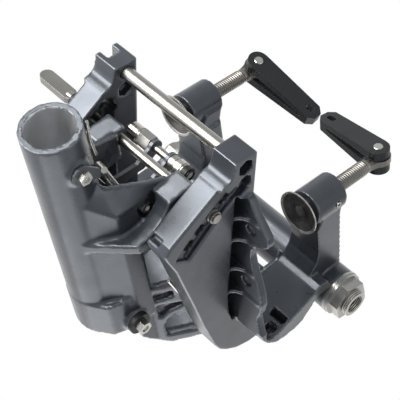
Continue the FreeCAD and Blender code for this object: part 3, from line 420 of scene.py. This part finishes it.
def placed(made, name):
    """A new object in the scene from a bmesh, which is used up."""
    mesh = bpy.data.meshes.new(name)
    made.to_mesh(mesh)
    made.free()
    piece = bpy.data.objects.new(name, mesh)
    scene.collection.objects.link(piece)
    return piece


def settled(piece):
    """Apply the piece's modifiers to its mesh."""
    ready = bpy.context.evaluated_depsgraph_get()
    mesh = bpy.data.meshes.new_from_object(piece.evaluated_get(ready))
    piece.modifiers.clear()
    piece.data = mesh


def at_reach(reach, angle):
    """Place across the bracket, from the tilt tube's axis."""
    return -reach * math.cos(angle), -reach * math.sin(angle)


def circle(middle, radius, sides):
    turns = [FULL_TURN * step / sides for step in range(sides)]
    return [(middle[0] + radius * math.cos(turn), middle[1] + radius * math.sin(turn))
            for turn in turns]


def prism(outline, first, last):
    """A closed solid: an outline in the YZ plane, drawn out along X."""
    made = bmesh.new()
    near = [made.verts.new((first, y, z)) for y, z in outline]
    far = [made.verts.new((last, y, z)) for y, z in outline]
    made.faces.new(near)
    made.faces.new(list(reversed(far)))
    for step in range(len(outline)):
        after = (step + 1) % len(outline)
        made.faces.new((near[after], near[step], far[step], far[after]))
    bmesh.ops.recalc_face_normals(made, faces=made.faces)
    return placed(made, "prism")


def channel_floor(side):
    """The casting's wall behind the rod holes and their groove, with the holes through it."""
    low, high = FLOOR_ANGLES
    angles = [low + (high - low) * step / FLOOR_STEPS for step in range(FLOOR_STEPS + 1)]
    outline = [at_reach(FLOOR_REACH[0], angle) for angle in angles]
    outline += [at_reach(FLOOR_REACH[1], angle) for angle in reversed(angles)]
    inner, outer = FLOOR_SPAN
    plate = prism(outline, side * inner, side * outer)
    for angle in ROD_HOLE_ANGLES:
        ring = circle(at_reach(ROD_HOLE_REACH, angle), ROD_HOLE_RADIUS, ROD_HOLE_SIDES)
        plug = prism(ring, side * (inner - PLUG_SPARE), side * (outer + PLUG_SPARE))
        hole = plate.modifiers.new("hole", "BOOLEAN")
        hole.operation = "DIFFERENCE"
        hole.solver = "EXACT"
        hole.object = plug
        settled(plate)
        bpy.data.objects.remove(plug)
    mesh = plate.data
    bpy.data.objects.remove(plate)
    return mesh


def cast_skin(name, voxel, extra=None):
    """A copy of a casting's solid and the extra mesh, with rounded edges, in its place."""
    made = bmesh.new()
    made.from_mesh(nodes[name].data)
    if extra:
        made.from_mesh(extra)
    piece = placed(made, name + "_cast")
    skin = piece.modifiers.new("skin", "REMESH")
    skin.mode = "VOXEL"
    skin.voxel_size = voxel
    soften = piece.modifiers.new("soften", "SMOOTH")
    soften.factor = SMOOTHING
    soften.iterations = SMOOTHING_ROUNDS
    settled(piece)
    wear(piece, CASTING)
    for face in piece.data.polygons:
        face.use_smooth = True
    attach(piece, body_of(name))
    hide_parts(name)
    return piece


def paint_hole_shade(piece):
    """Painted shade: the rod holes' walls get a near-black paint, standing in for the shade
    inside them.
    """
    piece.data.materials.append(PAINTED_HOLE_SHADE)
    middles = [at_reach(ROD_HOLE_REACH, angle) for angle in ROD_HOLE_ANGLES]
    for face in piece.data.polygons:
        if abs(face.normal.x) >= WALL_LOOK:
            continue
        for back, drop in middles:
            if math.hypot(face.center.y - back, face.center.z - drop) < ROD_RIM_RADIUS:
                face.material_index = 1


BARREL_RADIUS = 0.0215
# the skin lies within these of the barrel's ends, outside, bore and lower ring
END_SPARE = 0.002
OUTSIDE_SPARE = 0.001
BORE_SPARE = 0.0009
RING_SPARE = 0.0014
RING_INSET = 0.0002
# faces this near to the bore, and looking no more along it than this, are the bore's
BORE_NEAR, BORE_LOOK = 0.0007, 0.5
# the hub's end faces: their place on X, how near to it, and how far they look along X
HUB_END, HUB_NEAR, HUB_LOOK = 0.0476, 0.0006, 0.9


def machine_barrel(piece):
    """Bare, machined faces of the swivel bracket: the barrel's bore and the hub's ends."""
    piece.data.materials.append(MACHINED)
    mounts = {entry["name"]: entry for entry in frame["record"]["mounts"]}
    mount = mounts["steering_barrel"]
    middle = Vector(mount["pos_m"])
    along = Vector(mount["axis"]).normalized()
    half = mount["dims"]["length_mm"] / 2000.0
    bore = mount["dims"]["r_mm"] / 1000.0
    for vertex in piece.data.vertices:
        offset = vertex.co - middle
        height = offset.dot(along)
        outward = offset - along * height
        radius = outward.length
        if abs(height) > half + END_SPARE or radius > BARREL_RADIUS + OUTSIDE_SPARE:
            continue
        if radius < bore + BORE_SPARE:
            radius = bore
        if height > half - RING_SPARE and radius < BARREL_RADIUS - RING_INSET:
            height = half
        vertex.co = middle + along * height + outward.normalized() * radius
    for face in piece.data.polygons:
        offset = face.center - middle
        radius = (offset - along * offset.dot(along)).length
        in_bore = radius < bore + BORE_NEAR and abs(face.normal.dot(along)) < BORE_LOOK
        at_hub_end = abs(abs(face.center.x) - HUB_END) < HUB_NEAR
        if in_bore or (at_hub_end and abs(face.normal.x) > HUB_LOOK):
            face.material_index = 1


# the rod holes' walls get painted shade
paint_hole_shade(cast_skin("clamp_bracket_port", CLAMP_VOXEL, channel_floor(-1)))
paint_hole_shade(cast_skin("clamp_bracket_starboard", CLAMP_VOXEL, channel_floor(1)))
swivel = cast_skin("swivel_bracket", SWIVEL_VOXEL)
machine_barrel(swivel)


# Clamp screws again, with their threads

THREAD_FROM = -0.0245
THREAD_TO = 0.0385
THREAD_PITCH = 0.002
CREST = 0.006
ROOT = 0.00532
# vertices this near to the crest's radius are the plain shank's
SHANK_NEAR = 0.0002
# the profile's slope in crest heights a turn, and what the flat root takes off it
FLANK_SLOPE, ROOT_FLAT = 2.6, 0.12
STEPS_AROUND = 40
STEPS_ALONG = 8


def thread_radius(turns):
    """Radius at a place in the thread's profile: flat root, flank, narrow crest, flank."""
    from_root = 0.5 - abs(turns % 1.0 - 0.5)
    rise = min(max(from_root * FLANK_SLOPE - ROOT_FLAT, 0.0), 1.0)
    return ROOT + (CREST - ROOT) * rise


def threaded_screw(name, side):
    """A copy of the screw's solid with its shank cut down, in a threaded sleeve."""
    made = bmesh.new()
    made.from_mesh(nodes[name].data)
    middle_x = side * SCREW_X
    for vertex in made.verts:
        aside = vertex.co.x - middle_x
        above = vertex.co.z - SCREW_Z
        radius = math.hypot(aside, above)
        if THREAD_FROM < vertex.co.y < THREAD_TO and abs(radius - CREST) < SHANK_NEAR:
            vertex.co.x = middle_x + aside * ROOT / radius
            vertex.co.z = SCREW_Z + above * ROOT / radius
    rows = int((THREAD_TO - THREAD_FROM) / THREAD_PITCH * STEPS_ALONG)
    grid = []
    for row in range(rows + 1):
        along = THREAD_FROM + (THREAD_TO - THREAD_FROM) * row / rows
        # the thread fades over its first and last turn
        fade = min(min(row, rows - row) / STEPS_ALONG, 1.0)
        ring = []
        for step in range(STEPS_AROUND):
            angle = FULL_TURN * step / STEPS_AROUND
            full = thread_radius((along - THREAD_FROM) / THREAD_PITCH + step / STEPS_AROUND)
            radius = ROOT + (full - ROOT) * fade
            place = (middle_x + radius * math.cos(angle), along,
                     SCREW_Z + radius * math.sin(angle))
            ring.append(made.verts.new(place))
        grid.append(ring)
    for low, high in zip(grid, grid[1:]):
        for step in range(STEPS_AROUND):
            after = (step + 1) % STEPS_AROUND
            face = made.faces.new((low[step], high[step], high[after], low[after]))
            face.smooth = True
    made.faces.new(grid[0])
    made.faces.new(list(reversed(grid[-1])))
    piece = placed(made, name + "_threaded")
    piece.data.materials.append(SCREW)
    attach(piece, body_of(name))
    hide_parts(name)


threaded_screw("clamp_screw_port", -1)
threaded_screw("clamp_screw_starboard", 1)


# Camera at the photograph's viewing angle

AZIMUTH = math.radians(45.89)
ELEVATION = math.radians(47.72)
ROLL = math.radians(2.44)
CAMERA_PLACE = (0.43687, -0.49114, 0.74808)
# the focal length and the frame's width in pixels, and the sensor in millimetres
FOCAL = 1200.0
FRAME = 400.0
SENSOR = 36.0


def in_use(point):
    """The photograph shows the object upside down: turned half round about the Y axis."""
    return Vector((-point[0], point[1], -point[2]))


right = Vector((math.cos(AZIMUTH), math.sin(AZIMUTH), 0.0))
level = Vector((math.sin(AZIMUTH), -math.cos(AZIMUTH), 0.0))
back = level * math.cos(ELEVATION) + Vector((0.0, 0.0, math.sin(ELEVATION)))
up = back.cross(right)
rolled_right = right * math.cos(ROLL) + up * math.sin(ROLL)
rolled_up = up * math.cos(ROLL) - right * math.sin(ROLL)
axes = Matrix((in_use(rolled_right), in_use(rolled_up), in_use(back)))
camera_data = bpy.data.cameras.new("camera")
camera_data.sensor_fit = "HORIZONTAL"
camera_data.sensor_width = SENSOR
camera_data.lens = SENSOR * FOCAL / FRAME
camera_data.clip_start = 0.01
camera_data.clip_end = 20.0
camera = bpy.data.objects.new("camera", camera_data)
camera.matrix_world = Matrix.Translation(in_use(CAMERA_PLACE)) @ axes.transposed().to_4x4()
scene.collection.objects.link(camera)
scene.camera = camera


# Floor

FLOOR_SIZE = 3.0
FLOOR_DROP = 0.012
FLOOR_SHADE = (0.86, 0.86, 0.86, 1)
FLOOR_LIFT = 0.42


def mirror_rays(tree, path):
    return maths(tree, "MAXIMUM", path.outputs["Is Glossy Ray"],
                 path.outputs["Is Transmission Ray"])


def floor_material():
    """Pale from above, clear from below, so that it never stands before the object."""
    made = bpy.data.materials.new("floor")
    tree = empty_tree(made)
    out = tree.nodes.new("ShaderNodeOutputMaterial")
    matt = tree.nodes.new("ShaderNodeBsdfDiffuse")
    matt.inputs["Color"].default_value = FLOOR_SHADE
    path = tree.nodes.new("ShaderNodeLightPath")
    seen_by = maths(tree, "MAXIMUM", path.outputs["Is Camera Ray"], mirror_rays(tree, path))
    lift = tree.nodes.new("ShaderNodeEmission")
    tree.links.new(maths(tree, "MULTIPLY", seen_by, FLOOR_LIFT), lift.inputs["Strength"])
    pale = tree.nodes.new("ShaderNodeAddShader")
    tree.links.new(matt.outputs["BSDF"], pale.inputs[0])
    tree.links.new(lift.outputs["Emission"], pale.inputs[1])
    clear = tree.nodes.new("ShaderNodeBsdfTransparent")
    below = tree.nodes.new("ShaderNodeNewGeometry").outputs["Backfacing"]
    surface = mixed_shaders(tree, below, pale.outputs["Shader"], clear.outputs["BSDF"])
    tree.links.new(surface, out.inputs["Surface"])
    return made


grid = bmesh.new()
bmesh.ops.create_grid(grid, x_segments=1, y_segments=1, size=FLOOR_SIZE)
floor = placed(grid, "floor")
floor.location = (0.0, 0.0, cad_box[0][2] - FLOOR_DROP)
floor.data.materials.append(floor_material())
# it is seen and takes the shadow, but doesn't shade the object from the lamps below
floor.visible_shadow = False
floor.visible_diffuse = False
floor.visible_glossy = False


# World: white to the camera, a dimmer room to everything else

ROOM_COLOUR = (0.93, 0.96, 1.0, 1)
ROOM_LIGHT = 0.2
ROOM_EXTRA_IN_MIRRORS = 0.26
# metal and glass show the white backdrop as well: it stands behind the object, in this
# direction, and fades towards the room
BACKDROP_SIDE = (0.438, 0.493, 0.751)
BACKDROP_FULL = 0.9

world = bpy.data.worlds.new("world")
scene.world = world
tree = empty_tree(world)
out = tree.nodes.new("ShaderNodeOutputWorld")
path = tree.nodes.new("ShaderNodeLightPath")
white = tree.nodes.new("ShaderNodeBackground")
white.inputs["Color"].default_value = WHITE
white.inputs["Strength"].default_value = 1.0
room = tree.nodes.new("ShaderNodeBackground")
room.inputs["Color"].default_value = ROOM_COLOUR
room_light = maths(tree, "MULTIPLY_ADD", path.outputs["Is Glossy Ray"],
                   ROOM_EXTRA_IN_MIRRORS, ROOM_LIGHT)
tree.links.new(room_light, room.inputs["Strength"])
facing = tree.nodes.new("ShaderNodeVectorMath")
facing.operation = "DOT_PRODUCT"
facing.inputs[1].default_value = BACKDROP_SIDE
direction = tree.nodes.new("ShaderNodeTexCoord").outputs["Generated"]
tree.links.new(direction, facing.inputs[0])
backdrop = remap(tree, facing.outputs["Value"], 0.0, BACKDROP_FULL)
mirrored = maths(tree, "MULTIPLY", mirror_rays(tree, path), backdrop)
shown = maths(tree, "MAXIMUM", path.outputs["Is Camera Ray"], mirrored)
surface = mixed_shaders(tree, shown, room.outputs["Background"], white.outputs["Background"])
tree.links.new(surface, out.inputs["Surface"])


# Lamps

LAMP_AIM = Vector((0.0, -0.09, -0.11))


def softbox(name, place, wide, tall, power, lights):
    """An area lamp; lights is the collection that it is limited by, if any."""
    made = bpy.data.lights.new(name, "AREA")
    made.shape = "RECTANGLE"
    made.size = wide
    made.size_y = tall
    made.energy = power
    owner = bpy.data.objects.new(name, made)
    place = Vector(place)
    owner.location = place
    owner.rotation_euler = (LAMP_AIM - place).to_track_quat("-Z", "Y").to_euler()
    scene.collection.objects.link(owner)
    if lights:
        owner.light_linking.receiver_collection = lights


# the lamps below and beside the object leave the floor to the high one
not_floor = bpy.data.collections.new("not_floor")
not_floor.objects.link(floor)
not_floor.collection_objects[0].light_linking.link_state = "EXCLUDE"
# a small flagged lamp is for the swivel bracket's faces that look down
only_swivel = bpy.data.collections.new("only_swivel")
only_swivel.objects.link(swivel)

softbox("key_low", (0.5, -0.9, -1.15), 1.2, 1.2, 33.0, not_floor)
softbox("key_high", (-0.3, -0.5, 1.25), 1.2, 1.2, 5.0, None)
softbox("side_left", (1.1, -0.9, -0.3), 0.6, 1.2, 4.0, not_floor)
softbox("side_right", (-1.3, 0.3, -0.5), 0.5, 1.0, 1.5, not_floor)
softbox("shelf_low", (0.58, 0.1, -1.25), 0.4, 0.4, 3.5, only_swivel)
